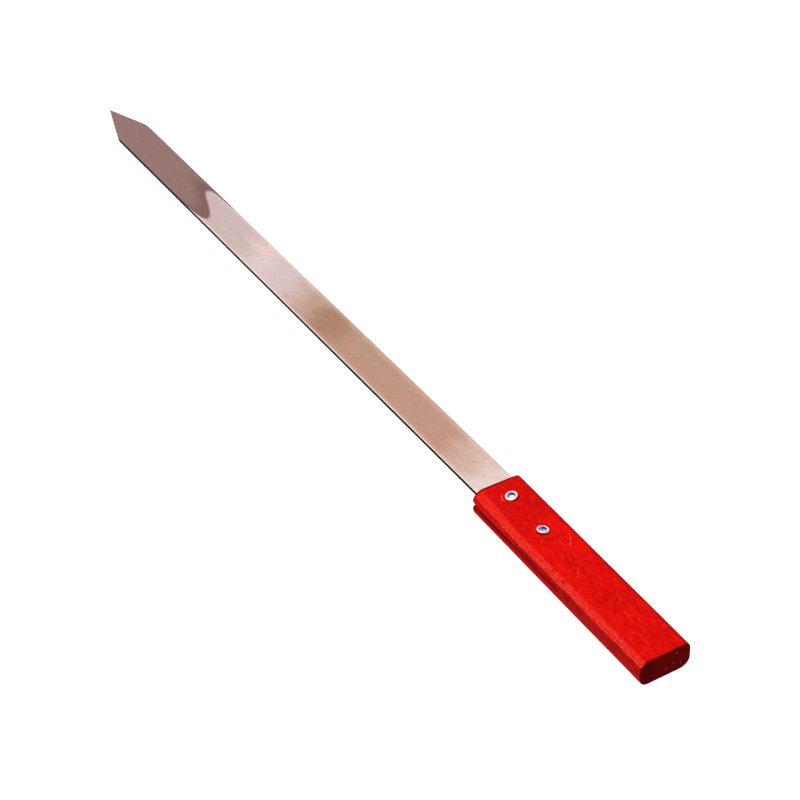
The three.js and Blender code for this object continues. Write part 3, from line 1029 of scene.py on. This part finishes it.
# Nickel-plated mild steel, rolled over by a press: white bright metal with fine draw marks.
def makePlatedSteel(look):
    material, tree = newMaterial("nickelPlatedSteel")
    add = partial(addNode, tree)
    where = add("TexCoord").outputs["Object"]
    marks = add("TexNoise", {"Vector": where, "Scale": 1500.0, "Detail": 2.0})
    plating = ((0.3, look["plateDull"]), (0.6, look["plate"]))
    colour = add("ValToRGB", {0: marks}, stops=plating)
    # a painted dark reflection on one side of the cup wall
    tarnish = add("Attribute", attribute_name="tarnish").outputs["Fac"]
    withCupReflection = add("Mix", {0: tarnish, 6: colour, 7: linear(look["tarnish"])}, data_type="RGBA")
    rough = add("MapRange", {
        "Value": marks, "To Min": look["roughness"] - 0.05, "To Max": look["roughness"] + 0.1})
    shader = add("BsdfPrincipled", {
        "Base Color": withCupReflection.outputs[2], "Metallic": 1.0, "Roughness": rough})
    finishMaterial(tree, shader)
    return material


faceSteel = makeFaceSteel(steelLook)
edgeSteel = makeEdgeSteel()
stainedWood = makeStainedWood(woodLook, handleSize)
platedSteel = makePlatedSteel(rivetLook)

bladePiece = makeBlade(bladeSize, faceSteel, edgeSteel)
print("blade made:", len(bladePiece.data.polygons), "faces")
handlePiece = makeHandle(handleSize, stainedWood)
print("handle made:", len(handlePiece.data.polygons), "faces")
rivetTree = makeRivetTree(platedSteel)
frontRivet = makeRivet("front_rivet_rolled", "front_rivet", rivetTree,
                       {"Lean forward": 0.03, "Lean sideways": 0.16, "Split turn": 5.6,
                        "Split depth": 0.00014, "Cup reflection turn": 2.4, "Stretch": 0.02, "Stretch turn": 2.6})
rearRivet = makeRivet("rear_rivet_rolled", "rear_rivet", rivetTree,
                      {"Lean forward": 0.035, "Lean sideways": -0.17, "Split turn": 4.4,
                       "Cup reflection turn": 2.2})
print("rivets made:", len(frontRivet.data.polygons), "faces each")

for piece, node, slot in (
    (bladePiece, "blade", "blade_steel"),
    (handlePiece, "handle", "red_wood"),
    (frontRivet, "front_rivet", "rivet_metal"),
    (rearRivet, "rear_rivet", "rivet_metal"),
):
    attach(piece, "root")
    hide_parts(node)

studio = {
    "floorColour": "#dcdcdc",
    "floorSize": 12.0,
    "floorGlow": 0.95,  # the table lights the paper from below
    "ambient": 0.55,
    "keyPower": 12.0,
    "rearPower": 2.9,
}


def makeFloor(size):
    half = size["floorSize"] / 2
    mesh = bpy.data.meshes.new("floor")
    corners = [(-half, -half, 0), (half, -half, 0), (half, half, 0), (-half, half, 0)]
    mesh.from_pydata(corners, [], [(0, 1, 2, 3)])
    floor = bpy.data.objects.new("floor", mesh)
    bpy.context.scene.collection.objects.link(floor)
    material, tree = newMaterial("whitePaper")
    shader = addNode(tree, "BsdfPrincipled", {
        "Base Color": linear(size["floorColour"]), "Roughness": 0.9, "Specular IOR Level": 0.1,
        "Emission Color": (1, 1, 1, 1), "Emission Strength": size["floorGlow"]})
    finishMaterial(tree, shader)
    mesh.materials.append(material)
    return floor


def softLight(name, position, target, width, height, power, colour=(1, 1, 1)):
    data = bpy.data.lights.new(name, "AREA")
    data.shape = "RECTANGLE"
    data.size = width
    data.size_y = height
    data.energy = power
    data.color = colour
    light = bpy.data.objects.new(name, data)
    light.location = position
    light.rotation_euler = (Vector(target) - Vector(position)).to_track_quat("-Z", "Y").to_euler()
    light.visible_camera = False
    bpy.context.scene.collection.objects.link(light)
    return light


makeFloor(studio)
world = bpy.data.worlds.new("paleRoom")
world.use_nodes = True
world.node_tree.nodes["Background"].inputs["Color"].default_value = (1, 1, 1, 1)
world.node_tree.nodes["Background"].inputs["Strength"].default_value = studio["ambient"]
bpy.context.scene.world = world
softLight("keySoftbox", (-0.25, -0.65, 1.15), (0, 0, 0), 0.9, 0.9, studio["keyPower"])
softLight("rearSoftbox", (-1.0, 0.5, 0.83), (-0.05, 0, 0), 1.5, 1.0, studio["rearPower"])

shot = {
    "azimuth": 59.6,
    "elevation": 38.2,
    "distance": 1.1252,
    "roll": -2.07,
    "lens": 109.25,
    "aimAlong": 0.0973,  # share of the length from the middle towards the butt
    "aimSideways": 0.0009,
}


def makeCamera(size):
    low, high = [Vector(corner) for corner in cadBox]
    aim = (low + high) / 2
    aim.x += size["aimAlong"] * (high.x - low.x)
    aim.y = size["aimSideways"]
    aim.z = drawingOrigin.z
    azimuth = math.radians(size["azimuth"])
    elevation = math.radians(size["elevation"])
    back = Vector((math.sin(azimuth) * math.cos(elevation), -math.cos(azimuth) * math.cos(elevation),
                   math.sin(elevation)))
    data = bpy.data.cameras.new("camera")
    data.lens = size["lens"]
    data.sensor_width = 36
    camera = bpy.data.objects.new("camera", data)
    camera.location = aim + back * size["distance"]
    turn = (-back).to_track_quat("-Z", "Y").to_matrix().to_4x4()
    camera.rotation_euler = (turn @ Matrix.Rotation(math.radians(size["roll"]), 4, "Z")).to_euler()
    bpy.context.scene.collection.objects.link(camera)
    bpy.context.scene.camera = camera


makeCamera(shot)
bpy.context.scene.view_settings.view_transform = "Standard"
print("studio and camera set")
